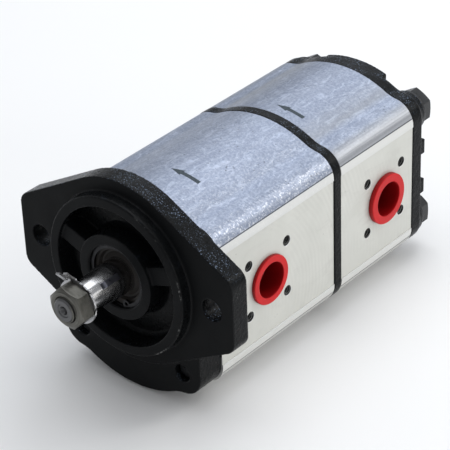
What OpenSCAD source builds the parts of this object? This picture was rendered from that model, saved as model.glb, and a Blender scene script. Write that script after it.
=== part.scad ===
// Tandem external gear pump: two gear sections on one drive line, a two-bolt
// mounting flange with a round pilot, a tapered keyed shaft end, side ports.
// Frame: origin on the shaft axis in the plane of the mounting face.
// The shaft points to -Y, the sections follow to +Y, +Z is the side of the
// driving gears. Millimetres.

/* [Flange] */
// Pilot diameter
pilot_d = 82.55; // [82.5:0.05:82.6]
// Height of the pilot above the mounting face
pilot_h = 6.35; // [5.5:0.05:7]
// Distance between the two flange bolts
flange_span = 106.4; // [106:0.1:107]
// Diameter of the flange bolt holes
flange_hole_d = 11.2; // [10.5:0.1:12]
// Overall width across the two ears
ear_w = 131; // [128:0.5:134]
// Thickness of the ears
flange_t = 10.8; // [9:0.1:13]
// Full thickness of the front cover
cover_t = 17; // [16:0.5:20]

/* [Sections] */
// Raw width of the extruded bodies
body_w = 87.8; // [87.4:0.1:88.4]
// Width across the two machined port faces
face_w = 87; // [86.4:0.1:87.2]
// Length of the front body
front_len = 86.2; // [84:0.1:90]
// Thickness of the centre plate
plate_t = 6; // [5:0.5:7]
// Length of the rear body
rear_len = 59.8; // [58:0.1:64]
// Thickness of the rim of the rear cover
rim_t = 8; // [6.4:0.1:9]

/* [Gears] */
// Module of both gear pairs
gear_m = 2.4; // [2.38:0.01:2.42]
// Teeth on every gear
teeth = 12; // [12:1:12]
// Width of the front gear pair
front_gear_w = 38; // [30:1:40]
// Width of the rear gear pair
rear_gear_w = 22; // [16:1:24]
// Journal diameter
journal_d = 18; // [17:0.5:18]

/* [Ports] */
// Front port centre, from the mounting face
front_port_y = 52.6; // [50:0.1:56]
// Rear port centre, from the mounting face
rear_port_y = 145.4; // [143:0.1:147]
// Suction port bore
suction_d = 21.2; // [19:0.1:21.6]
// Pressure port bore
pressure_d = 15.2; // [14:0.1:16]
// Square of the suction port screws
suction_sq = 28.28; // [28:0.02:28.6]
// Square of the pressure port screws
pressure_sq = 24.75; // [24.4:0.05:25]
// Tapping diameter of the port screws
port_screw_d = 5; // [4.8:0.1:5.2]

/* [Hidden] */
$fn = 96;
e = 0.01;

// centre distance of a gear pair and the height of its middle
cd = gear_m*teeth;
mid_z = -cd/2;
// stations along the pump
y_f0 = cover_t;
y_f1 = y_f0 + front_len;
y_r0 = y_f1 + plate_t;
y_r1 = y_r0 + rear_len;
y_boss = y_r1 + 12.5;
fg0 = (y_f0 + y_f1)/2 - front_gear_w/2 + 0.25;
fg1 = fg0 + front_gear_w;
rg0 = (y_r0 + y_r1)/2 - rear_gear_w/2 + 1;
rg1 = rg0 + rear_gear_w;
// body section: two crowns, two flat sides, four bolt lobes
crown_r = 57.7;
crown_z = 36.5 - crown_r;
lobe_r = 12.1;
lobe_x = body_w/2 - lobe_r;
lobe_z = 16;
// gears
press = 25;
r_pitch = gear_m*teeth/2;
r_base = r_pitch*cos(press);
r_tip = r_pitch + gear_m;
r_root = r_pitch - 1.25*gear_m;
slack = 0.3;
r_bore = r_tip + 0.08;
rj = journal_d/2;
// tie bolts
tie_pos = [for (sx = [-1, 1], z = [lobe_z, -cd - lobe_z]) [sx*lobe_x, z]];
tie_r = 5;
// dowels
dowel_pos = [[-36.5, mid_z], [36.5, mid_z]];
dowel_r = 3;
// shaft end
y_end = -40.8;
y_taper = -30.2;
nut_y = -39.3;
nut_af = 19;
nut_turn = 13;
// key: angle from +X towards +Z, and its middle
key_a = 41;
key_y = -15.6;

// --- shared shapes -------------------------------------------------------

module yext(y0, y1) translate([0, y1, 0]) rotate([90, 0, 0]) linear_extrude(height = y1 - y0) children();
module ycyl(x, z, y0, y1, r) translate([x, y1, z]) rotate([90, 0, 0]) cylinder(h = y1 - y0, r = r);
module ycone(x, z, y0, y1, ra, rb) translate([x, y1, z]) rotate([90, 0, 0]) cylinder(h = y1 - y0, r1 = rb, r2 = ra);
module xcyl(y, z, x0, x1, r) translate([x0, y, z]) rotate([0, 90, 0]) cylinder(h = x1 - x0, r = r);
module xcone(y, z, x0, x1, ra, rb) translate([x0, y, z]) rotate([0, 90, 0]) cylinder(h = x1 - x0, r1 = ra, r2 = rb);
// revolve [radius, y] pairs about the Y axis
module yrev(pts) rotate([90, 0, 0]) rotate_extrude() polygon([for (p = pts) [p[0], -p[1]]]);
// revolve [radius, x] pairs about an axis along X
module xrev(pts) rotate([0, 90, 0]) rotate_extrude() polygon(pts);

// hollow blend of radius blend_r between a crown and a bolt lobe: centre of the
// circle that touches both from outside, then the two touching points
blend_r = 20;
b_u = [lobe_x, lobe_z - crown_z]/norm([lobe_x, lobe_z - crown_z]);
b_d = norm([lobe_x, lobe_z - crown_z]);
b_a = (pow(crown_r + blend_r, 2) - pow(lobe_r + blend_r, 2) + b_d*b_d)/(2*b_d);
b_h = sqrt(pow(crown_r + blend_r, 2) - b_a*b_a);
b_c = [b_a*b_u[0] - b_h*b_u[1], crown_z + b_a*b_u[1] + b_h*b_u[0]];
b_1 = [0, crown_z] + crown_r*(b_c - [0, crown_z])/(crown_r + blend_r);
b_2 = [lobe_x, lobe_z] + lobe_r*(b_c - [lobe_x, lobe_z])/(lobe_r + blend_r);
// the blend circle is a hair larger, so that it crosses both arcs cleanly
module blend2d(g) difference() {
  polygon([b_1 + (b_1 - b_c)*2/blend_r, b_c, b_2 + (b_2 - b_c)*2/blend_r, [lobe_x, lobe_z]]);
  translate(b_c) circle(r = blend_r - g + 0.03);
}

// section outline, grown by g
module outline(g = 0) union() {
  intersection() {
    translate([0, crown_z]) circle(r = crown_r + g);
    translate([0, -cd - crown_z]) circle(r = crown_r + g);
    translate([0, mid_z]) square([body_w + 2*g, 200], center = true);
  }
  for (p = tie_pos) translate(p) circle(r = lobe_r + g);
  for (t = [0, 1], m = [0, 1]) translate([0, t*2*mid_z]) mirror([0, t]) mirror([m, 0]) blend2d(g);
}
module eight(r) union() { circle(r = r); translate([0, -cd]) circle(r = r); }
module eight_ring(r0, r1) difference() { eight(r1); eight(r0); }
module tie_holes(y0, y1, r) for (p = tie_pos) ycyl(p[0], p[1], y0, y1, r);
module dowel_holes(y0, y1) for (p = dowel_pos) ycyl(p[0], p[1], y0, y1, dowel_r + 0.03);

// involute tooth, in degrees
function inv(a) = tan(a)*180/PI - a;
function half_at(r) = 90/teeth + inv(press) - inv(acos(min(1, r_base/r))) - slack;
flank = [for (i = [0:6]) r_base + (r_tip - r_base)*pow(i/6, 0.8)];
function pol(r, a) = [r*cos(a), r*sin(a)];
function tooth(a) = concat(
  [pol(r_root, a - half_at(r_base) - 1.4), pol(r_root + 0.45, a - half_at(r_base))],
  [for (r = flank) pol(r, a - half_at(r))],
  [for (i = [6:-1:0]) pol(flank[i], a + half_at(flank[i]))],
  [pol(r_root + 0.45, a + half_at(r_base)), pol(r_root, a + half_at(r_base) + 1.4)]);
// gear with one tooth centred on angle a0 of the XZ plane
module gear2d(a0) polygon([for (k = [0:teeth - 1]) each tooth(a0 + k*360/teeth)]);

// --- castings and bodies -------------------------------------------------

ear_c = 7;
ear_x = ear_w/2 - ear_c;
ear_z = 14.3;
flange_r = 48.2;
tang = atan2(ear_z, ear_x) + acos((flange_r - ear_c)/norm([ear_x, ear_z]));
function quad(sx, sz) = [[sx*flange_r*cos(tang), sz*flange_r*sin(tang)],
  [sx*(ear_x + ear_c*cos(tang)), sz*(ear_z + ear_c*sin(tang))],
  [sx*(ear_x + ear_c), sz*ear_z]];
function rev(v) = [for (i = [len(v) - 1:-1:0]) v[i]];
module flange2d() union() {
  circle(r = flange_r);
  polygon(concat(quad(1, 1), rev(quad(1, -1)), quad(-1, -1), rev(quad(-1, 1))));
  for (sx = [-1, 1], sz = [-1, 1]) translate([sx*ear_x, sz*ear_z]) circle(r = ear_c);
}

seal_r = 16;
pocket_in = 22;
pocket_out = 36;
pocket_floor = 6;
block_y = 1.2;

module front_cover() color("#1c1d1f") difference() {
  union() {
    yext(0, flange_t) flange2d();
    yext(block_y, y_f0) outline(-1);
    // pilot with a chamfered rim
    yrev([[0, 0.5], [pilot_d/2, 0.5], [pilot_d/2, -pilot_h + 0.6], [pilot_d/2 - 0.6, -pilot_h], [0, -pilot_h]]);
  }
  // cast pocket between the pilot ring and the seal housing, with ribs left standing
  difference() {
    yrev([[pocket_in + 1.6, pocket_floor], [pocket_in, pocket_floor - 2], [pocket_in, -pilot_h - 1], [pocket_out, -pilot_h - 1], [pocket_out, pocket_floor - 2], [pocket_out - 1.6, pocket_floor]]);
    for (a = [20, 160]) rotate([0, -a, 0]) translate([pocket_in - 2, -pilot_h + 2.2, -4.6]) cube([pocket_out - pocket_in + 4, pocket_floor + pilot_h, 9.2]);
  }
  // shaft passage, seal seat and ring groove
  ycyl(0, 0, -pilot_h - 1, y_f0 + 1, rj + 0.6);
  ycyl(0, 0, -pilot_h - 1, 4, seal_r);
  ycyl(0, 0, -5.0, -3.5, seal_r + 0.9);
  yrev([[seal_r - e, -pilot_h + 0.8], [seal_r + 0.8, -pilot_h], [seal_r + 0.8, -pilot_h - 1], [seal_r - e, -pilot_h - 1]]);
  // flange bolt holes
  for (s = [-1, 1]) ycyl(s*flange_span/2, 0, -1, flange_t + 1, flange_hole_d/2);
  // tie bolt threads: blind above, through below
  for (p = tie_pos) if (p[1] > 0) ycyl(p[0], p[1], 7, y_f0 + 1, tie_r + 0.04);
    else { ycyl(p[0], p[1], 4.4, y_f0 + 1, tie_r + 0.04); ycyl(p[0], p[1], 0, 5, 4.35); ycone(p[0], p[1], block_y - e, block_y + 0.8, 5.15, 4.3); }
  dowel_holes(y_f0 - 5.2, y_f0 + 1);
  // spot under the flange screws
  for (s = [-1, 1]) ycyl(s*flange_span/2, 0, flange_t - 0.5, flange_t + 1, 10);
}

// body: y0..y1 length, port centre py
module pump_body(y0, y1, py) difference() {
  yext(y0, y1) outline(0);
  yext(y0 - 1, y1 + 1) eight(r_bore);
  tie_holes(y0 - 1, y1 + 1, tie_r + 0.25);
  dowel_holes(y0 - 1, y0 + 5.2);
  dowel_holes(y1 - 5.2, y1 + 1);
  // machined port faces
  for (s = [-1, 1]) translate([s*(face_w/2 + 5), (y0 + y1)/2, mid_z]) cube([10, y1 - y0 + 2, 59.4], center = true);
  // section seal grooves
  yext(y0 - 1, y0 + 1.6) eight_ring(20.2, 22.2);
  yext(y1 - 1.6, y1 + 1) eight_ring(20.2, 22.2);
  // suction port, +X
  xcyl(py, mid_z, 4, face_w/2 + 1, suction_d/2);
  xcone(py, mid_z, face_w/2 - 0.8, face_w/2 + e, suction_d/2, suction_d/2 + 0.8);
  // pressure port, -X
  xcyl(py, mid_z, -face_w/2 - 1, -4, pressure_d/2);
  xcone(py, mid_z, -face_w/2 - e, -face_w/2 + 0.8, pressure_d/2 + 0.8, pressure_d/2);
  for (sy = [-1, 1], sz = [-1, 1]) {
    xcyl(py + sy*suction_sq/2, mid_z + sz*suction_sq/2, face_w/2 - 13, face_w/2 + 1, port_screw_d/2);
    xcone(py + sy*suction_sq/2, mid_z + sz*suction_sq/2, face_w/2 - 0.4, face_w/2 + e, port_screw_d/2, port_screw_d/2 + 0.4);
    xcyl(py + sy*pressure_sq/2, mid_z + sz*pressure_sq/2, -face_w/2 - 1, -face_w/2 + 13, port_screw_d/2);
    xcone(py + sy*pressure_sq/2, mid_z + sz*pressure_sq/2, -face_w/2 - e, -face_w/2 + 0.4, port_screw_d/2 + 0.4, port_screw_d/2);
  }
}
module front_body() color("#c9cdd2") pump_body(y_f0, y_f1, front_port_y);
module rear_body() color("#c9cdd2") pump_body(y_r0, y_r1, rear_port_y);

module centre_plate() color("#1c1d1f") difference() {
  yext(y_f1, y_r0) outline(0.15);
  ycyl(0, 0, y_f1 - 1, y_r0 + 1, 9.6);
  ycyl(0, 0, y_f1 + 1.5, y_r0 + 1, 13);
  tie_holes(y_f1 - 1, y_r0 + 1, tie_r + 0.25);
  dowel_holes(y_f1 - 1, y_r0 + 1);
}

module rear_cover() color("#1c1d1f") difference() {
  union() {
    yext(y_r1, y_r1 + rim_t) outline(-0.1);
    // thick crowns above and below
    yext(y_r1 + rim_t - e, y_r1 + 12.2) intersection() {
      outline(-0.8);
      union() {
        translate([-18.5, 12]) square([37, 60]);
        translate([-18.5, -cd - 72]) square([37, 60]);
      }
    }
    // bolt bosses
    for (p = tie_pos) ycone(p[0], p[1], y_r1 + rim_t - e, y_boss, 11.6, 10.8);
    // raised centre over the gear ends
    yext(y_r1 + rim_t - e, y_boss + 3.2) eight(17.5);
    // cross ribs
    for (z = [mid_z + 11.6, mid_z - 11.6]) translate([-41.2, y_r1 + rim_t - e, z - 4.2]) cube([82.4, 6.6, 8.4]);
    for (z = [lobe_z, -cd - lobe_z]) translate([-lobe_x, y_r1 + rim_t - e, z - 3.2]) cube([2*lobe_x, 3.2, 6.4]);
  }
  tie_holes(y_r1 - 1, y_boss + 3, tie_r + 0.25);
  dowel_holes(y_r1 - 1, y_r1 + 5.2);
  // relief around the shaft ends
  for (z = [0, -cd]) ycyl(0, z, y_r1 - 1, y_r1 + 2.5, rj + 1.5);
}

// --- shafts and gears ----------------------------------------------------

module drive_shaft() color("#9a9da1") difference() {
  union() {
    // threaded end, taper, journals
    yrev([[0, y_end], [5.2, y_end], [6, y_end + 0.8], [6, y_taper - 0.6], [5.5, y_taper], [7.2, y_taper], [rj, y_taper + 18], [rj, fg0 + e], [0, fg0 + e]]);
    yext(fg0, fg1) gear2d(-90);
    ycyl(0, 0, fg1 - e, y_f1 - 4, rj);
    // driving tongue
    intersection() {
      ycyl(0, 0, y_f1 - 4.2, y_f1 + 0.5, 8);
      translate([-3, y_f1 - 5, -10]) cube([6, 6, 20]);
    }
  }
  // centre drilling with a wide protecting recess
  ycone(0, 0, y_end - e, y_end + 0.5, 3.5, 3.1);
  ycone(0, 0, y_end + 0.4, y_end + 3.2, 2.3, 0.6);
  ycyl(0, 0, y_end, y_end + 4.4, 0.8);
  // key seat
  rotate([0, 90 - key_a, 0]) xcyl(key_y, 6.3, -1.5, 1.5, 6.02);
}

module front_driven_gear() color("#8f9296") translate([0, 0, -cd]) union() {
  yext(fg0, fg1) gear2d(90 + 180/teeth);
  yrev([[0, y_f0 + 1.4], [rj - 0.6, y_f0 + 1.4], [rj, y_f0 + 2], [rj, fg0 + e], [0, fg0 + e]]);
  yrev([[0, fg1 - e], [rj, fg1 - e], [rj, y_f1 - 2], [rj - 0.6, y_f1 - 1.4], [0, y_f1 - 1.4]]);
}

cp0 = y_f1 - 3.7;
cp1 = y_r0 + 3.7;
module coupling() color("#77797c") difference() {
  yrev([[0, cp0], [7.9, cp0], [8.4, cp0 + 0.5], [8.4, cp1 - 0.5], [7.9, cp1], [0, cp1]]);
  translate([-3.1, cp0 - 1, -10]) cube([6.2, 1 + 4.4, 20]);
  translate([-10, cp1 - 4.4, -3.1]) cube([20, 5.4, 6.2]);
}

module rear_drive_gear() color("#8f9296") union() {
  yext(rg0, rg1) gear2d(-90);
  ycyl(0, 0, y_r0 + 4, rg0 + e, rj);
  intersection() {
    ycyl(0, 0, y_r0 - 0.5, y_r0 + 4.2, 8);
    translate([-10, y_r0 - 1, -3]) cube([20, 6, 6]);
  }
  yrev([[0, rg1 - e], [rj, rg1 - e], [rj, y_r1 - 2], [rj - 0.6, y_r1 - 1.4], [0, y_r1 - 1.4]]);
}

module rear_driven_gear() color("#8f9296") translate([0, 0, -cd]) union() {
  yext(rg0, rg1) gear2d(90 + 180/teeth);
  yrev([[0, y_r0 + 1.4], [rj - 0.6, y_r0 + 1.4], [rj, y_r0 + 2], [rj, rg0 + e], [0, rg0 + e]]);
  yrev([[0, rg1 - e], [rj, rg1 - e], [rj, y_r1 - 2], [rj - 0.6, y_r1 - 1.4], [0, y_r1 - 1.4]]);
}

// bearing block y0..y1; outer is the end that carries the axial seal
module three(r0, r1) intersection() { eight_ring(r0, r1); translate([-26, -60]) square([30, 100]); }
bush_r = rj + 1.25;
module block(y0, y1, outer, cut) difference() {
  yext(y0, y1) eight(r_bore - 0.04);
  for (z = [0, -cd]) ycyl(0, z, y0 - 1, y1 + 1, bush_r);
  yext(outer > 0 ? y1 - 2.2 : y0 - 1, outer > 0 ? y1 + 1 : y0 + 2.2) three(12.5, 14.7);
  // trapping relief on the gear side
  for (s = [-1, 1]) translate([s*7 - 2, (outer > 0 ? y0 : y1) - 1.2, mid_z - 3]) cube([4, 2.4, 6]);
}
fa0 = y_f0 + 0.06;  fa1 = fg0 - 0.05;
fb0 = fg1 + 0.05;   fb1 = y_f1 - 0.06;
ra0 = y_r0 + 0.06;  ra1 = rg0 - 0.05;
rb0 = rg1 + 0.05;   rb1 = y_r1 - 0.06;
module front_block_a() color("#b9a36a") block(fa0, fa1, -1);
module front_block_b() color("#b9a36a") block(fb0, fb1, 1);
module rear_block_a() color("#b9a36a") block(ra0, ra1, -1);
module rear_block_b() color("#b9a36a") block(rb0, rb1, 1);

module bush(z, y0, y1) difference() { ycyl(0, z, y0, y1, bush_r - 0.01); ycyl(0, z, y0 - 1, y1 + 1, rj + 0.04); }
module bushes(y0, y1) for (z = [0, -cd]) bush(z, y0, y1);
module front_bushes_a() color("#8c6b3e") bushes(fa0 + 3, fa1 - 0.3);
module front_bushes_b() color("#8c6b3e") bushes(fb0 + 0.3, fb1 - 4.4);
module rear_bushes_a() color("#8c6b3e") bushes(ra0 + 4.4, ra1 - 0.3);
module rear_bushes_b() color("#8c6b3e") bushes(rb0 + 0.3, rb1 - 3);

// --- seals ---------------------------------------------------------------

module section_seal(y0) yext(y0 + 0.03, y0 + 1.57) eight_ring(20.25, 22.15);
module section_seal_1() color("#2b2b2b") section_seal(y_f0);
module section_seal_2() color("#2b2b2b") section_seal(y_f1 - 1.6);
module section_seal_3() color("#2b2b2b") section_seal(y_r0);
module section_seal_4() color("#2b2b2b") section_seal(y_r1 - 1.6);

module axial(y0, y1) yext(y0, y1) three(12.56, 14.64);
module axial_seals_front() color("#333333") { axial(fa0 + 0.02, fa0 + 1.4); axial(fb1 - 1.4, fb1 - 0.02); }
module axial_seals_rear() color("#333333") { axial(ra0 + 0.02, ra0 + 1.4); axial(rb1 - 1.4, rb1 - 0.02); }
module backup_rings_front() color("#e8e4d8") { axial(fa0 + 1.43, fa0 + 2.18); axial(fb1 - 2.18, fb1 - 1.43); }
module backup_rings_rear() color("#e8e4d8") { axial(ra0 + 1.43, ra0 + 2.18); axial(rb1 - 2.18, rb1 - 1.43); }

// lip seal, seen from the outside as a flat rubber face with a sloping lip
module shaft_seal() color("#3a2a22") yrev([[rj + 0.06, -2.6], [rj + 2.2, -1.2], [12.2, -1.4], [13, -3], [seal_r - 0.6, -3.3], [seal_r - 0.03, -2.8], [seal_r - 0.03, 3.9],
  [rj + 2.6, 3.9], [rj + 2.6, 3.0], [13.2, 3.0], [13.2, 0.6], [rj + 2.4, 0.6], [rj + 2.4, 2.4], [rj + 1.2, 2.4], [rj + 0.06, 1.0]]);
module seal_spring() color("#a9abae") rotate([90, 0, 0]) rotate_extrude() translate([rj + 3.15, -1.4]) circle(r = 0.7, $fn = 24);
// open spring ring in the groove of the seal seat, with two eyes
module retaining_ring() color("#6d6f72") difference() {
  union() {
    yext(-4.85, -3.65) difference() { circle(r = seal_r + 0.8); circle(r = seal_r - 1.6); translate([-3.2, -20]) square([6.4, 12]); }
    for (s = [-1, 1]) ycyl(s*4.9, -13.6, -4.85, -3.65, 2.1);
  }
  for (s = [-1, 1]) ycyl(s*4.9, -13.4, -6, -3, 1.0);
}
module interstage_seal() color("#3a2a22") yrev([[8.46, y_f1 + 2.6], [9.6, y_f1 + 1.6], [12.95, y_f1 + 1.6], [12.95, y_r0 - 0.1], [9.4, y_r0 - 0.1], [8.46, y_r0 - 1.2]]);

// --- shaft end -----------------------------------------------------------

module woodruff_key() color("#8d9094") rotate([0, 90 - key_a, 0]) intersection() {
  xcyl(key_y, 6.3, -1.48, 1.48, 6);
  translate([-5, key_y - 11, -2]) cube([10, 22, 12.4]);
}

// washer with a forked tab bent out over the nut and one small tab folded back
tab_a = 111;
wash_d = 22.2;
module tab_washer() color("#b7babd") difference() {
  union() {
    ycyl(0, 0, y_taper - 1.0, y_taper - 0.1, wash_d/2);
    rotate([0, -tab_a, 0]) {
      translate([9, y_taper - 1.0, -4]) cube([2.4, 0.9, 8]);
      for (s = [-1, 1]) translate([11.0, y_taper - 0.55, s*2.6 - 1.3]) rotate([0, 0, -36]) translate([-0.25, -0.45, 0]) cube([6.2, 0.9, 2.6]);
    }
    rotate([0, -252, 0]) {
      translate([9, y_taper - 1.0, -1.6]) cube([2.6, 0.9, 3.2]);
      translate([10.7, y_taper - 1.0, -1.6]) cube([0.9, 3.6, 3.2]);
    }
  }
  ycyl(0, 0, y_taper - 3, y_taper + 1, 6.15);
}

module shaft_nut() color("#a4a7aa") difference() {
  intersection() {
    translate([0, y_taper - 1.05, 0]) rotate([90, nut_turn, 0]) cylinder(h = y_taper - 1.05 - nut_y, r = nut_af/2/cos(30), $fn = 6);
    yrev([[0, nut_y], [nut_af/2 - 1.0, nut_y], [nut_af/2/cos(30) + 0.1, nut_y + 1.65], [nut_af/2/cos(30) + 0.1, y_taper - 1.5], [nut_af/2, y_taper - 1.05], [0, y_taper - 1.05]]);
  }
  ycyl(0, 0, nut_y - 1, y_taper, 6.04);
  ycone(0, 0, nut_y - e, nut_y + 0.8, 6.85, 6.0);
}

// --- fasteners -----------------------------------------------------------

wash_t = 1.6;
module tie_bolts() color("#2a2b2d") for (p = tie_pos) union() {
  ycyl(p[0], p[1], p[1] > 0 ? 8.5 : 5.4, y_boss + wash_t + 1, tie_r - 0.02);
  translate([p[0], 0, p[1]]) intersection() {
    translate([0, y_boss + wash_t + 6.4, 0]) rotate([90, 30, 0]) cylinder(h = 6.4, r = 17/2/cos(30), $fn = 6);
    yrev([[0, y_boss + wash_t], [10.2, y_boss + wash_t], [10.2, y_boss + wash_t + 5.6], [8.3, y_boss + wash_t + 6.4], [0, y_boss + wash_t + 6.4]]);
  }
}
module tie_bolt_washers() color("#3a3b3d") for (p = tie_pos) difference() {
  ycyl(p[0], p[1], y_boss, y_boss + wash_t - 0.01, 10);
  ycyl(p[0], p[1], y_boss - 1, y_boss + wash_t + 1, tie_r + 0.3);
}
module dowel_pins() color("#8d9094") for (y = [y_f0, y_f1, y_r0, y_r1], p = dowel_pos)
  // the centre plate's two pins per side run through it as one
  if (y != y_r0) ycyl(p[0], p[1], y - 4.9, (y == y_f1 ? y_r0 : y) + 4.9, dowel_r);

// --- port plugs ----------------------------------------------------------

// cup-shaped plug on an axis along X; rb bore of the port, rf flange, out how far it stands out
module plug(rb, rf, out) xrev([
  [0, -11], [rb - 1.2, -11], [rb - 0.15, -9.6], [rb - 0.08, 0.05], [rf - 0.15, 0.05], [rf, 0.2],
  [rf, out - 0.35], [rf - 0.35, out], [rb - 1.2, out], [rb - 1.45, out - 0.25], [rb - 1.3, -9.4], [0, -9.4]]);
module suction_plug_front() color("#d8232a") translate([face_w/2, front_port_y, mid_z]) plug(suction_d/2, 12.7, 2);
module suction_plug_rear() color("#d8232a") translate([face_w/2, rear_port_y, mid_z]) plug(suction_d/2, 13.5, 2.8);
module pressure_plug_front() color("#d8232a") translate([-face_w/2, front_port_y, mid_z]) mirror([1, 0, 0]) plug(pressure_d/2, 9.9, 2);
module pressure_plug_rear() color("#d8232a") translate([-face_w/2, rear_port_y, mid_z]) mirror([1, 0, 0]) plug(pressure_d/2, 9.9, 2);

front_cover();
front_body();
centre_plate();
rear_body();
rear_cover();
drive_shaft();
front_driven_gear();
rear_drive_gear();
rear_driven_gear();
coupling();
front_block_a();
front_block_b();
rear_block_a();
rear_block_b();
front_bushes_a();
front_bushes_b();
rear_bushes_a();
rear_bushes_b();
section_seal_1();
section_seal_2();
section_seal_3();
section_seal_4();
axial_seals_front();
axial_seals_rear();
backup_rings_front();
backup_rings_rear();
shaft_seal();
seal_spring();
retaining_ring();
interstage_seal();
woodruff_key();
tab_washer();
shaft_nut();
tie_bolts();
tie_bolt_washers();
dowel_pins();
suction_plug_front();
suction_plug_rear();
pressure_plug_front();
pressure_plug_rear();
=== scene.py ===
import math

import bmesh
import bpy
from mathutils import Matrix, Vector


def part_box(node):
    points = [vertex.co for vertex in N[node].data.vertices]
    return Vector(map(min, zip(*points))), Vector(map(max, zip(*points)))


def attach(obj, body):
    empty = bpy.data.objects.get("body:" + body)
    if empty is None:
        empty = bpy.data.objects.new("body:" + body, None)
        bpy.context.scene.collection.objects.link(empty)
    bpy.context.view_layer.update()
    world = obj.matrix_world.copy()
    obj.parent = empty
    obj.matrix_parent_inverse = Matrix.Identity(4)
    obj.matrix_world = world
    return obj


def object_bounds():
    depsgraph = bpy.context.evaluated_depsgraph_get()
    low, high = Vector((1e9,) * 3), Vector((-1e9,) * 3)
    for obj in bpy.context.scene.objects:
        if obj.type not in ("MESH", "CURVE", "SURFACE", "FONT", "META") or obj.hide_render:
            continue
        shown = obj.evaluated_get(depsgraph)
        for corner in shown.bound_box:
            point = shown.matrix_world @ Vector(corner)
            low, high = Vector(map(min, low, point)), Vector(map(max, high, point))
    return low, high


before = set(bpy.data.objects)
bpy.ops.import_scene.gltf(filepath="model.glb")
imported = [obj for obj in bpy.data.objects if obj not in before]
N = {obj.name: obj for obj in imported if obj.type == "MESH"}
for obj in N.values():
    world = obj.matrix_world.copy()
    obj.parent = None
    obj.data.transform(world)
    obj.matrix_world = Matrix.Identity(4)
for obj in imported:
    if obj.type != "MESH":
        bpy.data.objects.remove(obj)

CAD_LO, CAD_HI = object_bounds()
MM = 0.001

# ------------------------------------------------------------------ camera
cam_data = bpy.data.cameras.new("camera")
cam = bpy.data.objects.new("camera", cam_data)
bpy.context.scene.collection.objects.link(cam)
bpy.context.scene.camera = cam
AZ, EL, ROLL = math.radians(40.979), math.radians(31.734), math.radians(-2.256)
back = Vector((math.sin(AZ) * math.cos(EL), -math.cos(AZ) * math.cos(EL), math.sin(EL)))
right = Vector((math.cos(AZ), math.sin(AZ), 0))
up = back.cross(right)
right2 = right * math.cos(ROLL) + up * math.sin(ROLL)
up2 = up * math.cos(ROLL) - right * math.sin(ROLL)
target = Vector((0.028492, 0.040, 0.016159))
cam_data.sensor_fit = "HORIZONTAL"
cam_data.sensor_width = 36.0
cam_data.lens = 2001.687 / 450 * 36.0
cam_data.clip_start, cam_data.clip_end = 0.05, 20
rot = Matrix((right2, up2, back)).transposed()
cam.matrix_world = Matrix.Translation(target + back * 0.928838) @ rot.to_4x4()


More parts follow.
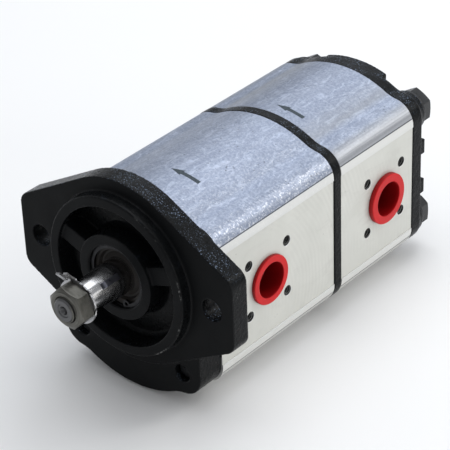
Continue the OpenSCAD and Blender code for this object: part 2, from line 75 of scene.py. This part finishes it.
# ------------------------------------------------------------------ node helpers
class Mat:
    """A material and short calls that add nodes to it."""

    def __init__(self, name):
        self.m = bpy.data.materials.new(name)
        self.m.use_nodes = True
        self.t = self.m.node_tree
        self.t.nodes.clear()
        self.out = self.t.nodes.new("ShaderNodeOutputMaterial")
        self.b = self.t.nodes.new("ShaderNodeBsdfPrincipled")
        self.t.links.new(self.b.outputs[0], self.out.inputs[0])
        self.tc = self.t.nodes.new("ShaderNodeTexCoord")
        self.obj = self.tc.outputs["Object"]
        self.geo = self.t.nodes.new("ShaderNodeNewGeometry")
        sep = self.t.nodes.new("ShaderNodeSeparateXYZ")
        self.link(self.obj, sep.inputs[0])
        self.x, self.y, self.z = sep.outputs

    def link(self, a, b):
        self.t.links.new(a, b)
        return b

    def feed(self, sock, v):
        if hasattr(v, "is_output") or isinstance(v, bpy.types.NodeSocket):
            self.link(v, sock)
        elif isinstance(v, (tuple, list)):
            sock.default_value = tuple(v) + (1,) * (4 - len(v)) if sock.type == "RGBA" else v
        elif sock.type == "RGBA":
            sock.default_value = (v, v, v, 1)
        else:
            sock.default_value = v

    def math(self, op, a, b=0.0, c=0.0, clamp=False):
        n = self.t.nodes.new("ShaderNodeMath")
        n.operation = op
        n.use_clamp = clamp
        for s, v in zip(n.inputs, (a, b, c)):
            self.feed(s, v)
        return n.outputs[0]

    def scaled(self, vec, s):
        n = self.t.nodes.new("ShaderNodeVectorMath")
        n.operation = "MULTIPLY"
        self.feed(n.inputs[0], vec)
        n.inputs[1].default_value = s
        return n.outputs[0]

    def noise(self, scale, detail=3.0, rough=0.5, vec=None, stretch=None, distortion=0.0, colour=False):
        n = self.t.nodes.new("ShaderNodeTexNoise")
        v = vec or self.obj
        if stretch:
            v = self.scaled(v, stretch)
        self.link(v, n.inputs["Vector"])
        n.inputs["Scale"].default_value = scale
        n.inputs["Detail"].default_value = detail
        n.inputs["Roughness"].default_value = rough
        n.inputs["Distortion"].default_value = distortion
        return n.outputs["Color" if colour else "Fac"]

    def voronoi(self, scale, feature="F1", vec=None, stretch=None):
        n = self.t.nodes.new("ShaderNodeTexVoronoi")
        n.feature = feature
        v = vec or self.obj
        if stretch:
            v = self.scaled(v, stretch)
        self.link(v, n.inputs["Vector"])
        n.inputs["Scale"].default_value = scale
        return n.outputs["Distance"], n.outputs.get("Color")

    def ramp(self, v, stops, interp="LINEAR"):
        n = self.t.nodes.new("ShaderNodeValToRGB")
        n.color_ramp.interpolation = interp
        el = n.color_ramp.elements
        while len(el) < len(stops):
            el.new(0.5)
        for e_, (p, c) in zip(el, stops):
            e_.position = p
            e_.color = (c, c, c, 1) if isinstance(c, (int, float)) else tuple(c) + (1,)
        self.feed(n.inputs[0], v)
        return n.outputs[0]

    def span(self, v, a, b, lo=0.0, hi=1.0, smooth=False):
        n = self.t.nodes.new("ShaderNodeMapRange")
        n.clamp = True
        if smooth:
            n.interpolation_type = "SMOOTHSTEP"
        self.feed(n.inputs[0], v)
        for i, q in zip((1, 2, 3, 4), (a, b, lo, hi)):
            n.inputs[i].default_value = q
        return n.outputs[0]

    def mix(self, f, a, b):
        n = self.t.nodes.new("ShaderNodeMix")
        n.data_type = "RGBA"
        n.clamp_factor = True
        self.feed(n.inputs[0], f)
        self.feed(n.inputs[6], a)
        self.feed(n.inputs[7], b)
        return n.outputs[2]

    def normal_axis(self):
        s = self.t.nodes.new("ShaderNodeSeparateXYZ")
        v = self.t.nodes.new("ShaderNodeVectorTransform")
        v.vector_type = "NORMAL"
        v.convert_from, v.convert_to = "WORLD", "OBJECT"
        self.link(self.geo.outputs["Normal"], v.inputs[0])
        self.link(v.outputs[0], s.inputs[0])
        return s.outputs

    def bump(self, height, strength, distance, normal=None):
        n = self.t.nodes.new("ShaderNodeBump")
        n.inputs["Strength"].default_value = strength
        n.inputs["Distance"].default_value = distance
        self.feed(n.inputs["Height"], height)
        if normal is not None:
            self.link(normal, n.inputs["Normal"])
        return n.outputs[0]

    def set(self, **kw):
        names = {"color": "Base Color", "metal": "Metallic", "rough": "Roughness", "coat": "Coat Weight",
                 "coat_rough": "Coat Roughness", "ior": "IOR", "spec": "Specular IOR Level", "normal": "Normal",
                 "sss": "Subsurface Weight", "sss_scale": "Subsurface Scale", "coat_normal": "Coat Normal",
                 "aniso": "Anisotropic", "sheen": "Sheen Weight"}
        for k, v in kw.items():
            self.feed(self.b.inputs[names[k]], v)
        return self.m

    def radius(self, cx=0.0, cz=0.0):
        dx = self.math("SUBTRACT", self.x, cx)
        dz = self.math("SUBTRACT", self.z, cz)
        return self.math("SQRT", self.math("ADD", self.math("MULTIPLY", dx, dx), self.math("MULTIPLY", dz, dz)))


def use(node, mat):
    o = N[node] if isinstance(node, str) else node
    if not o.material_slots:
        o.data.materials.append(mat)
    for s in o.material_slots:
        s.link = "OBJECT"
        s.material = mat


# ------------------------------------------------------------------ sizes, in metres
# read from the CAD nodes' own boxes
FB_LO, FB_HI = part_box("front_body")
RB_LO, RB_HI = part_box("rear_body")
PLUG = {n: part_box(n) for n in ("suction_plug_front", "suction_plug_rear", "pressure_plug_front", "pressure_plug_rear")}
MID_Z = (FB_LO.z + FB_HI.z) / 2
FACE_X = 0.0435
PORTS = [((PLUG[n][0].y + PLUG[n][1].y) / 2, 1 if n.startswith("suction") else -1) for n in PLUG]
SUCTION_SQ, PRESSURE_SQ = 0.02828, 0.02475
CROWN_R = 0.0577
CROWN_Z = FB_HI.z - CROWN_R
SHAFT_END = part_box("drive_shaft")[0].y
NUT_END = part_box("shaft_nut")[0].y


# ------------------------------------------------------------------ materials
def cover_paint():
    """Black paint over iron castings: smooth where machined, orange peel and grit where cast."""
    k = Mat("cover_paint")
    nx, ny, nz = k.normal_axis()
    r = k.radius()
    flat = k.span(k.math("ABSOLUTE", ny), 0.90, 0.98)
    front = k.math("MULTIPLY", flat, k.span(k.y, 0.0034, 0.0026))
    peel = k.noise(520, 2, 0.5)
    grit = k.noise(1500, 2, 0.6)
    lumps = k.noise(110, 3, 0.55)
    tone = k.noise(45, 3, 0.6)
    base = k.mix(tone, (0.0030, 0.0034, 0.0038), (0.0060, 0.0066, 0.0072))
    # painted sheen: a bluish painted reflection of the overhead light in patches, stronger on the upper sides
    painted_top_sheen = k.math("MULTIPLY", k.span(k.noise(230, 5, 0.7), 0.55, 0.75), k.span(nz, 0.0, 0.9, 0.01, 0.09))
    base = k.mix(painted_top_sheen, base, (0.07, 0.09, 0.13))
    # painted glints: bluish highlights painted on the peel tips, mostly on upward faces
    painted_glints = k.math("MULTIPLY", k.span(k.noise(1500, 2, 0.6), 0.60, 0.68), k.span(front, 0.9, 0.1))
    painted_glints = k.math("MULTIPLY", painted_glints, k.span(k.noise(120, 3, 0.6), 0.38, 0.58))
    painted_glints = k.math("MULTIPLY", painted_glints, k.math("MAXIMUM", k.span(r, 0.0420, 0.0428), k.span(k.y, 0.10, 0.104)))
    base = k.mix(k.math("MULTIPLY", painted_glints, k.span(nz, 0.3, 0.9, 0.01, 0.55)), base, (0.32, 0.41, 0.56))
    # bare metal in thin scratches on the pilot's front edge
    edge = k.math("MULTIPLY", k.span(r, 0.0402, 0.0405), k.span(k.y, -0.0050, -0.0054))
    edge = k.math("MULTIPLY", edge, k.span(r, 0.0411, 0.0409))
    arc = k.span(k.noise(28, 2, 0.5), 0.55, 0.60)
    fine = k.span(k.noise(420, 4, 0.7), 0.50, 0.58)
    worn = k.math("MULTIPLY", k.math("MULTIPLY", edge, arc), fine)
    base = k.mix(k.math("MULTIPLY", worn, 0.40), base, (0.34, 0.34, 0.33))
    # fine turning rings on the machined faces inside and on the pilot
    comb = k.t.nodes.new("ShaderNodeCombineXYZ")
    k.feed(comb.inputs[0], r)
    rings = k.noise(2600, 2, 0.5, vec=comb.outputs[0])
    turned_zone = k.math("MULTIPLY", front, k.span(r, 0.0425, 0.0415))
    h = k.math("ADD", k.math("MULTIPLY", peel, 0.7), k.math("MULTIPLY", grit, 0.35))
    h = k.math("ADD", h, k.math("MULTIPLY", lumps, 0.9))
    h2 = k.math("ADD", k.math("MULTIPLY", k.noise(800, 2, 0.5), 0.45), k.math("MULTIPLY", k.noise(90, 2, 0.5), 0.5))
    h2 = k.math("ADD", h2, k.math("MULTIPLY", k.math("MULTIPLY", rings, turned_zone), 0.8))
    rough_side = k.bump(h, 0.9, 0.00034)
    smooth_side = k.bump(h2, 0.35, 0.00008)
    n = k.t.nodes.new("ShaderNodeMix")
    n.data_type = "VECTOR"
    k.feed(n.inputs[0], front)
    k.feed(n.inputs[4], rough_side)
    k.feed(n.inputs[5], smooth_side)
    rr = k.mix(front, k.span(k.noise(300, 3, 0.6), 0.3, 0.7, 0.22, 0.38), k.span(k.noise(60, 4, 0.6), 0.3, 0.7, 0.50, 0.62))
    k.set(color=base, metal=k.math("MULTIPLY", worn, 0.6), rough=rr, normal=n.outputs[1])
    k.b.inputs["Specular IOR Level"].default_value = 0.085
    return k.m


def body_alloy():
    """Extruded aluminium: a matt mottled skin, with milled port faces and painted shade inside the ports and tapped
    holes.
    """
    k = Mat("body_alloy")
    nx, ny, nz = k.normal_axis()
    ax = k.math("ABSOLUTE", k.x)
    face = k.math("MULTIPLY", k.span(k.math("ABSOLUTE", nx), 0.985, 0.998), k.span(ax, 0.04362, 0.04357))
    end = k.span(k.math("ABSOLUTE", ny), 0.9, 0.97)
    # painted shade: the port bores and tapped holes inward of the milled face
    painted_bore_shade = k.math("MULTIPLY", k.span(ax, 0.04335, 0.04315), k.span(k.math("ABSOLUTE", k.math("SUBTRACT", k.z, MID_Z)), 0.026, 0.025))
    # skin: fine mottling, small dark pits, a few pale flakes with a painted speckled highlight on the upper corners,
    # faint draw lines
    cloud = k.noise(38, 4, 0.6, stretch=(1, 0.6, 1))
    grain = k.noise(760, 4, 0.66)
    fine = k.noise(1700, 2, 0.6)
    skin = k.mix(k.span(cloud, 0.30, 0.70), (0.228, 0.264, 0.350), (0.300, 0.342, 0.442))
    # the rear section is from another billet, a little darker
    skin = k.mix(k.span(k.y, 0.1050, 0.1060, 0, 0.24), skin, (0.120, 0.140, 0.190))
    skin = k.mix(k.span(grain, 0.36, 0.64), k.mix(0.26, skin, (0.12, 0.145, 0.205)), k.mix(0.20, skin, (0.70, 0.76, 0.88)))
    wisp = k.noise(250, 5, 0.70, stretch=(1, 0.35, 1), distortion=1.6)
    skin = k.mix(k.span(wisp, 0.52, 0.66, 0, 0.42), skin, (0.60, 0.66, 0.79))
    skin = k.mix(k.span(wisp, 0.44, 0.32, 0, 0.30), skin, (0.16, 0.19, 0.25))
    pit, _ = k.voronoi(430)
    where = k.span(k.noise(150, 4, 0.65), 0.53, 0.60)
    pits = k.math("MULTIPLY", k.span(pit, 0.24, 0.12), where)
    skin = k.mix(k.math("MULTIPLY", pits, 0.72), skin, (0.085, 0.095, 0.12))
    corner = k.math("MULTIPLY", k.span(k.math("ABSOLUTE", nx), 0.25, 0.75), k.span(nz, -0.1, 0.1))
    speck = k.noise(900, 3, 0.6)
    # painted highlight: the pale flakes grow dense on the upper corners, where the light strikes
    flake_and_corner_glint = k.math("MAXIMUM", k.span(speck, 0.67, 0.74), k.math("MULTIPLY", corner, k.span(speck, 0.56, 0.63)))
    rear = k.span(k.y, 0.1050, 0.1060)
    skin = k.mix(k.math("MULTIPLY", flake_and_corner_glint, k.span(rear, 0, 1, 0.60, 0.22)), skin, (0.88, 0.90, 0.94))
    # on the rear section: a painted highlight band along the upper corner, with its draw lines in it
    draw = k.noise(420, 3, 0.6, stretch=(1, 0.008, 1))
    lines = k.math("MULTIPLY", k.math("MULTIPLY", corner, rear), k.span(draw, 0.42, 0.58))
    # painted highlight: light grey band on the rear body's upper corner
    skin = k.mix(k.math("MULTIPLY", k.math("MULTIPLY", corner, rear), 0.65), skin, (0.52, 0.53, 0.54))
    skin = k.mix(k.math("MULTIPLY", lines, 0.55), skin, (0.15, 0.155, 0.165))
    streak = k.noise(300, 3, 0.6, stretch=(1, 0.010, 1))
    side = k.span(k.math("ABSOLUTE", nx), 0.35, 0.9)
    skin = k.mix(k.math("MULTIPLY", k.span(streak, 0.40, 0.62), k.span(side, 0, 1, 0.07, 0.40)), skin, (0.50, 0.51, 0.54))
    # painted reflection: downward faces and lower corners painted a pale neutral, as if the pale floor shows in them
    painted_floor_reflection = k.span(nz, -0.02, -0.12)
    skin = k.mix(k.math("MULTIPLY", painted_floor_reflection, 0.88), skin, (0.66, 0.655, 0.62))
    # painted shade line and painted highlight line where the milled face cuts the corner
    painted_crease_shade = k.math("MULTIPLY", k.span(ax, 0.04309, 0.04314), k.span(ax, 0.04332, 0.04327))
    painted_edge_glint = k.math("MULTIPLY", k.span(ax, 0.04330, 0.04334), k.math("SUBTRACT", 1.0, end))
    skin = k.mix(k.math("MULTIPLY", painted_edge_glint, 0.85), skin, (0.78, 0.78, 0.75))
    skin = k.mix(k.math("MULTIPLY", painted_crease_shade, 0.88), skin, (0.03, 0.033, 0.040))
    # milled face: wide shallow cutter circles over fine straight smears
    sh = k.t.nodes.new("ShaderNodeVectorMath")
    sh.operation = "ADD"
    k.link(k.scaled(k.obj, (0, 1, 1)), sh.inputs[0])
    sh.inputs[1].default_value = (0, -0.030, 0.030)
    marks = k.t.nodes.new("ShaderNodeTexWave")
    marks.wave_type, marks.rings_direction = "RINGS", "X"
    k.link(sh.outputs[0], marks.inputs["Vector"])
    marks.inputs["Scale"].default_value = 120
    marks.inputs["Distortion"].default_value = 5.0
    marks.inputs["Detail"].default_value = 3
    marks.inputs["Detail Scale"].default_value = 0.35
    smear = k.noise(30, 4, 0.6, distortion=0.7)
    milled = k.mix(k.span(smear, 0.3, 0.7), (0.585, 0.588, 0.545), (0.670, 0.672, 0.630))
    milled = k.mix(k.math("MULTIPLY", k.math("MULTIPLY", marks.outputs["Fac"], k.span(k.noise(30, 3, 0.6), 0.46, 0.64)), 0.13), milled, (0.40, 0.395, 0.37))
    scuff = k.noise(130, 4, 0.65, stretch=(1, 0.35, 1), distortion=0.9)
    milled = k.mix(k.span(scuff, 0.55, 0.72, 0, 0.30), milled, (0.48, 0.475, 0.445))
    pin, _ = k.voronoi(260)
    milled = k.mix(k.math("MULTIPLY", k.span(pin, 0.09, 0.05), k.span(k.noise(90, 3, 0.6), 0.56, 0.60, 0, 0.5)), milled, (0.20, 0.19, 0.17))
    ends = k.mix(k.noise(200, 3, 0.6), (0.44, 0.44, 0.43), (0.56, 0.56, 0.55))
    # painted shade colour for the port bores and tapped holes
    dark = k.mix(k.noise(400, 3, 0.6), (0.018, 0.020, 0.019), (0.06, 0.062, 0.060))
    col = k.mix(face, k.mix(end, skin, ends), milled)
    col = k.mix(painted_bore_shade, col, dark)
    rough = k.mix(face, k.span(fine, 0.3, 0.7, 0.34, 0.56), k.span(smear, 0.3, 0.7, 0.36, 0.48))
    hskin = k.math("ADD", k.math("MULTIPLY", fine, 0.45), k.math("SUBTRACT", grain, k.math("MULTIPLY", pits, 1.2)))
    b1 = k.bump(hskin, 0.60, 0.00011)
    b2 = k.bump(marks.outputs["Fac"], 0.08, 0.00003)
    n = k.t.nodes.new("ShaderNodeMix")
    n.data_type = "VECTOR"
    k.feed(n.inputs[0], face)
    k.feed(n.inputs[4], b1)
    k.feed(n.inputs[5], b2)
    metal = k.mix(face, 0.62, 0.25)
    return k.set(color=col, metal=metal, rough=rough, normal=n.outputs[1])


def turned(name, lo, hi, rough=(0.25, 0.42), lines=1400, strength=0.25, blotch=None, cz=0.0, metal=1.0, thread=None):
    """Turned or ground steel: fine rings about the Y axis, faint handling marks."""
    k = Mat(name)
    r = k.radius(0.0, cz)
    comb = k.t.nodes.new("ShaderNodeCombineXYZ")
    k.feed(comb.inputs[0], r)
    k.feed(comb.inputs[1], k.y)
    comb.inputs[2].default_value = 0.0
    ring = k.noise(lines, 3, 0.6, vec=comb.outputs[0])
    cloud = k.noise(140, 4, 0.6)
    col = k.mix(k.span(cloud, 0.35, 0.65), lo, hi)
    col = k.mix(k.span(ring, 0.35, 0.65, 0, 0.22), col, tuple(min(1, c * 1.5 + 0.05) for c in hi))
    rr = k.span(cloud, 0.3, 0.7, *rough)
    if blotch:
        spots = k.span(k.noise(420, 5, 0.7), 0.62, 0.74)
        col = k.mix(k.math("MULTIPLY", spots, 0.4), col, blotch)
    if thread:
        # end face and thread: duller, as they are left turned, not ground
        dull = k.span(k.y, thread + 0.0004, thread)
        col = k.mix(dull, col, tuple(c * 0.24 for c in lo))
        rr = k.mix(dull, rr, 0.38)
    return k.set(color=col, metal=metal, rough=rr, normal=k.bump(ring, strength, 0.00004))


def plain_steel(name, lo, hi, rough, scale=260, strength=0.3, metal=1.0, dist=0.00008, brushed=None, spec=0.5):
    """Pressed, plated or forged steel with a fine uneven skin."""
    k = Mat(name)
    cloud = k.noise(scale, 4, 0.6)
    grit = k.noise(scale * 5, 3, 0.6, stretch=brushed)
    col = k.mix(k.span(cloud, 0.35, 0.65), lo, hi)
    col = k.mix(k.span(grit, 0.55, 0.75, 0, 0.25), col, tuple(c * 0.4 for c in lo))
    return k.set(color=col, metal=metal, rough=k.span(cloud, 0.3, 0.7, *rough), spec=spec, normal=k.bump(grit, strength, dist))


def rubber(name, lo, hi):
    k = Mat(name)
    cloud = k.noise(180, 4, 0.6)
    grit = k.noise(1600, 3, 0.6)
    return k.set(color=k.mix(cloud, lo, hi), metal=0.0, rough=k.span(cloud, 0.3, 0.7, 0.5, 0.68), spec=0.25, normal=k.bump(grit, 0.3, 0.00005))


def plug_red():
    """Soft moulded polyethylene with a satin skin and light scuffs."""
    k = Mat("plug_red")
    nx, ny, nz = k.normal_axis()
    cloud = k.noise(70, 3, 0.55)
    grit = k.noise(1300, 3, 0.6)
    scuff = k.span(k.noise(240, 5, 0.7, stretch=(1, 1, 2.5)), 0.60, 0.70)
    col = k.mix(k.span(cloud, 0.3, 0.7), (0.52, 0.007, 0.009), (0.62, 0.012, 0.014))
    col = k.mix(k.math("MULTIPLY", scuff, 0.10), col, (0.75, 0.10, 0.10))
    # the bottom of the cup holds less light
    depth = k.span(k.math("ABSOLUTE", k.x), 0.0440, 0.0350)
    col = k.mix(k.math("MULTIPLY", depth, 0.80), col, (0.10, 0.0006, 0.0010))
    # so does the flange's outer side, close to the face
    rim = k.math("MULTIPLY", k.span(k.math("ABSOLUTE", k.x), 0.0462, 0.0440, 0.45, 1.0), k.span(k.math("ABSOLUTE", nx), 0.75, 0.45))
    col = k.mix(k.math("MULTIPLY", rim, 0.78), col, (0.16, 0.001, 0.002))
    return k.set(color=col, metal=0.0, rough=k.span(cloud, 0.3, 0.7, 0.36, 0.50), spec=0.2,
                 normal=k.bump(k.math("ADD", grit, k.math("MULTIPLY", scuff, 0.5)), 0.18, 0.00006))


def mark_ink():
    """Dark grey burnt marking."""
    k = Mat("mark_ink")
    n = k.noise(1000, 4, 0.7)
    col = k.mix(k.span(n, 0.30, 0.70), (0.028, 0.040, 0.050), (0.085, 0.105, 0.120))
    return k.set(color=col, metal=0.3, rough=k.span(n, 0.3, 0.7, 0.5, 0.7), spec=0.2, normal=k.bump(n, 0.3, 0.00006))


M_COVER = cover_paint()
M_BODY = body_alloy()
M_SHAFT = turned("shaft_steel", (0.50, 0.50, 0.51), (0.60, 0.60, 0.61), (0.14, 0.20), 1300, 0.05, thread=NUT_END + 0.004)
M_GEAR = turned("gear_steel", (0.36, 0.36, 0.36), (0.50, 0.50, 0.50), (0.22, 0.36), 1500, 0.2)
M_GEAR_LOW = turned("gear_steel_low", (0.36, 0.36, 0.36), (0.50, 0.50, 0.50), (0.22, 0.36), 1500, 0.2, cz=-0.0288)
M_NUT = turned("nut_steel", (0.080, 0.078, 0.070), (0.135, 0.132, 0.118), (0.32, 0.46), 1300, 0.25, blotch=(0.045, 0.042, 0.034))
M_WASHER = plain_steel("washer_steel", (0.36, 0.36, 0.37), (0.48, 0.48, 0.49), (0.24, 0.36), 200, 0.12)
M_BOLT = plain_steel("bolt_black", (0.010, 0.0105, 0.0115), (0.026, 0.027, 0.029), (0.26, 0.40), 300, 0.5, metal=0.0, dist=0.00012, spec=0.3)
M_PIN = plain_steel("pin_steel", (0.16, 0.165, 0.20), (0.24, 0.245, 0.29), (0.25, 0.36))
M_SPRING = plain_steel("spring_steel", (0.018, 0.018, 0.019), (0.040, 0.040, 0.042), (0.34, 0.48))
M_BLOCK = plain_steel("block_alloy", (0.56, 0.53, 0.45), (0.68, 0.65, 0.57), (0.32, 0.46), 200, 0.2)
M_BRONZE = turned("bush_bronze", (0.42, 0.27, 0.13), (0.58, 0.40, 0.21), (0.3, 0.45), 1500, 0.2)
M_BLACKR = rubber("seal_rubber", (0.018, 0.018, 0.018), (0.04, 0.04, 0.04))
M_LIP = rubber("lip_rubber", (0.010, 0.0085, 0.0075), (0.022, 0.018, 0.015))
M_RING = rubber("ring_plastic", (0.70, 0.66, 0.56), (0.84, 0.81, 0.72))
M_PLUG = plug_red()
M_MARK = mark_ink()
# painted shade: the tapped threads get a dark steel colour so the screw holes read as shaded
M_SHADED_THREAD = plain_steel("cut_thread_painted_shade", (0.10, 0.10, 0.10), (0.20, 0.20, 0.195), (0.25, 0.40), 400, 0.2)

BY_NODE = {
    "front_cover": M_COVER, "centre_plate": M_COVER, "rear_cover": M_COVER, "front_body": M_BODY, "rear_body": M_BODY,
    "drive_shaft": M_SHAFT, "front_driven_gear": M_GEAR_LOW, "rear_drive_gear": M_GEAR, "rear_driven_gear": M_GEAR_LOW, "coupling": M_GEAR,
    "front_block_a": M_BLOCK, "front_block_b": M_BLOCK, "rear_block_a": M_BLOCK, "rear_block_b": M_BLOCK,
    "front_bushes_a": M_BRONZE, "front_bushes_b": M_BRONZE, "rear_bushes_a": M_BRONZE, "rear_bushes_b": M_BRONZE,
    "section_seal_1": M_BLACKR, "section_seal_2": M_BLACKR, "section_seal_3": M_BLACKR, "section_seal_4": M_BLACKR,
    "axial_seals_front": M_BLACKR, "axial_seals_rear": M_BLACKR, "backup_rings_front": M_RING, "backup_rings_rear": M_RING,
    "shaft_seal": M_LIP, "interstage_seal": M_LIP, "seal_spring": M_SPRING, "retaining_ring": M_SPRING,
    "woodruff_key": M_PIN, "tab_washer": M_WASHER, "shaft_nut": M_NUT, "tie_bolts": M_BOLT, "tie_bolt_washers": M_BOLT, "dowel_pins": M_PIN,
    "suction_plug_front": M_PLUG, "suction_plug_rear": M_PLUG, "pressure_plug_front": M_PLUG, "pressure_plug_rear": M_PLUG,
}
for name, m in BY_NODE.items():
    use(name, m)


# ------------------------------------------------------------------ edges
def soften(node, width, segments=2, angle=32):
    """Round the edges of a CAD node with modifiers, and leave its mesh alone."""
    o = N[node]
    w = o.modifiers.new("weld", "WELD")
    w.merge_threshold = 2e-6
    d = o.modifiers.new("flat", "DECIMATE")
    d.decimate_type = "DISSOLVE"
    d.angle_limit = math.radians(0.6)
    b = o.modifiers.new("edge", "BEVEL")
    b.width = width
    b.segments = segments
    b.limit_method = "ANGLE"
    b.angle_limit = math.radians(angle)
    b.use_clamp_overlap = True
    b.miter_outer = "MITER_ARC"
    b.harden_normals = False
    n = o.modifiers.new("shade", "WEIGHTED_NORMAL")
    n.keep_sharp = False
    n.weight = 80


def cast(node, voxel, smooth=5, factor=0.5, keep=0.3):
    """A casting: every edge and inner corner flows, as sand or die casting leaves it."""
    o = N[node]
    w = o.modifiers.new("weld", "WELD")
    w.merge_threshold = 2e-6
    r = o.modifiers.new("skin", "REMESH")
    r.mode = "VOXEL"
    r.voxel_size = voxel
    r.use_smooth_shade = True
    s = o.modifiers.new("flow", "SMOOTH")
    s.factor = factor
    s.iterations = smooth
    d = o.modifiers.new("thin", "DECIMATE")
    d.ratio = keep


cast("front_cover", 0.00045, 5, keep=0.22)
cast("rear_cover", 0.00042, 10, keep=0.30)
cast("centre_plate", 0.00045, 3, keep=0.30)
for node in ("front_body", "rear_body"):
    soften(node, 0.00022, 2)
for node in ("suction_plug_front", "suction_plug_rear", "pressure_plug_front", "pressure_plug_rear"):
    soften(node, 0.00022, 2)
soften("shaft_nut", 0.00022, 2)
soften("tab_washer", 0.00020, 2)
soften("tie_bolts", 0.00035, 3)
soften("tie_bolt_washers", 0.00025, 2)
soften("woodruff_key", 0.00025, 2)


# ------------------------------------------------------------------ extra pieces
def put(name, bm, mat, body, smooth=True):
    me = bpy.data.meshes.new(name)
    bm.normal_update()
    bm.to_mesh(me)
    bm.free()
    for p in me.polygons:
        p.use_smooth = smooth
    o = bpy.data.objects.new(name, me)
    bpy.context.scene.collection.objects.link(o)
    me.materials.append(mat)
    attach(o, body)
    return o


def ridge(bm, centre, axis, r0, height, width, pitch, turns, start=0.0, steps=28, phase=0.0):
    """One helical thread ridge: closed, triangular, from radius r0 by height (negative is inwards), along axis from centre."""
    a = Vector(axis).normalized()
    u = a.orthogonal().normalized()
    v = a.cross(u)
    c = Vector(centre)
    rings = []
    n = int(turns * steps)
    for i in range(n + 1):
        t = 2 * math.pi * i / steps + phase
        d = u * math.cos(t) + v * math.sin(t)
        z = start + pitch * i / steps
        fade = min(1.0, i / 10.0, (n - i) / 10.0)
        root = r0 - math.copysign(0.00006, height)
        pts = ((root, -width / 2), (r0 + height * max(fade, 0.05), -width * 0.10), (r0 + height * max(fade, 0.05), width * 0.10), (root, width / 2))
        rings.append([bm.verts.new(c + d * rr + a * (z + w)) for rr, w in pts])
    for p, q in zip(rings, rings[1:]):
        for j in range(4):
            bm.faces.new((p[j], p[(j + 1) % 4], q[(j + 1) % 4], q[j]))
    bm.faces.new(rings[0][::-1])
    bm.faces.new(rings[-1])


# tapped threads in the port screw holes, coloured dark as painted shade
bm = bmesh.new()
for py, side in PORTS:
    half = (SUCTION_SQ if side > 0 else PRESSURE_SQ) / 2
    for sy in (-1, 1):
        for sz in (-1, 1):
            ridge(bm, (side * (FACE_X - 0.0006), py + sy * half, MID_Z + sz * half), (-side, 0, 0), 0.0025, -0.00042, 0.00085, 0.001, 8, phase=py * 37 + sy)
bmesh.ops.recalc_face_normals(bm, faces=bm.faces)
put("port_screw_threads", bm, M_SHADED_THREAD, "housing")

# the shaft's own thread where it shows in front of the nut
bm = bmesh.new()
ridge(bm, (0, SHAFT_END + 0.0005, 0), (0, 1, 0), 0.0059, 0.00035, 0.0011, 0.0015, 1.35, steps=64)
bmesh.ops.recalc_face_normals(bm, faces=bm.faces)
put("shaft_thread", bm, M_NUT, "drive_line")


def arrow(name, y, x0, x1, width, head, lift=0.00004, steps=40):
    """Flat arrow on the crown from x0 (tail) to x1 (tip), bent to the crown's curve."""
    def up(x):
        return CROWN_Z + math.sqrt((CROWN_R + lift) ** 2 - x * x)
    sgn = math.copysign(1, x1 - x0)
    neck = x1 - sgn * head[0]
    rows = []
    for i in range(steps + 1):
        x = x0 + (neck - x0) * i / steps
        rows.append((x, width / 2))
    rows.append((neck, head[1] / 2))
    for i in range(1, 13):
        f = i / 12
        rows.append((neck + sgn * head[0] * f, head[1] / 2 * (1 - f) + 0.00003))
    bm = bmesh.new()
    prev = None
    for x, w in rows:
        cols = [bm.verts.new((x, y + w * j / 4, up(x))) for j in range(-4, 5)]
        if prev:
            for j in range(8):
                bm.faces.new((prev[j], prev[j + 1], cols[j + 1], cols[j]))
        prev = cols
    bmesh.ops.recalc_face_normals(bm, faces=bm.faces)
    for f in bm.faces:
        if f.normal.z < 0:
            f.normal_flip()
    geo = bmesh.ops.extrude_face_region(bm, geom=list(bm.faces))
    for e_ in geo["geom"]:
        if isinstance(e_, bmesh.types.BMVert):
            e_.co.z -= 0.00030
    bmesh.ops.recalc_face_normals(bm, faces=bm.faces)
    return put(name, bm, M_MARK, "housing", smooth=False)


arrow("flow_arrow_front", 0.0389, 0.0148, -0.0024, 0.0023, (0.0068, 0.0043))
arrow("flow_arrow_rear", 0.1169, 0.0152, -0.0012, 0.0023, (0.0068, 0.0043))


# ------------------------------------------------------------------ stage
bpy.ops.mesh.primitive_plane_add(size=1)
floor = bpy.context.object
floor.name = "floor"
floor.scale = (14, 14, 1)
floor.location = (0, 2.0, CAD_LO.z - 0.0002)
fm = bpy.data.materials.new("floor_paper")
fm.use_nodes = True
fb = fm.node_tree.nodes["Principled BSDF"]
fb.inputs["Base Color"].default_value = (0.90, 0.90, 0.90, 1)
fb.inputs["Roughness"].default_value = 0.95
fb.inputs["Specular IOR Level"].default_value = 0.05
floor.data.materials.append(fm)

world = bpy.data.worlds.new("studio")
bpy.context.scene.world = world
world.use_nodes = True
wt = world.node_tree
bg = wt.nodes["Background"]
bg.inputs[0].default_value = (0.95, 0.97, 1.0, 1)
bg.inputs[1].default_value = 0.46


def softbox(name, place, aim, size, power, colour=(1, 1, 1)):
    l = bpy.data.lights.new(name, "AREA")
    l.shape = "RECTANGLE"
    l.size, l.size_y = size
    l.energy = power
    l.color = colour
    o = bpy.data.objects.new(name, l)
    bpy.context.scene.collection.objects.link(o)
    o.location = place
    o.rotation_euler = (Vector(aim) - Vector(place)).to_track_quat("-Z", "Y").to_euler()
    return o


# one big box overhead, one behind, a strip that draws the line on the corner, a weak one on the port side
softbox("overhead", (-0.15, 0.25, 1.35), (0.0, 0.07, 0), (1.3, 1.3), 10.5, (0.95, 0.97, 1.0))
softbox("behind", (-0.45, 1.25, 0.95), (0.0, 0.08, 0.02), (1.3, 0.6), 4.2, (0.86, 0.92, 1.0))
softbox("corner_strip", (0.78, 1.00, 0.86), (0.03, 0.09, 0.0), (0.34, 0.8), 5.5, (1.0, 0.99, 0.97))
softbox("port_side", (1.25, 0.15, 0.30), (0.04, 0.08, -0.01), (0.8, 0.7), 3.2, (1.0, 0.985, 0.95))

vs = bpy.context.scene.view_settings
vs.view_transform = "Standard"
vs.look = "None"
vs.exposure = 0.0
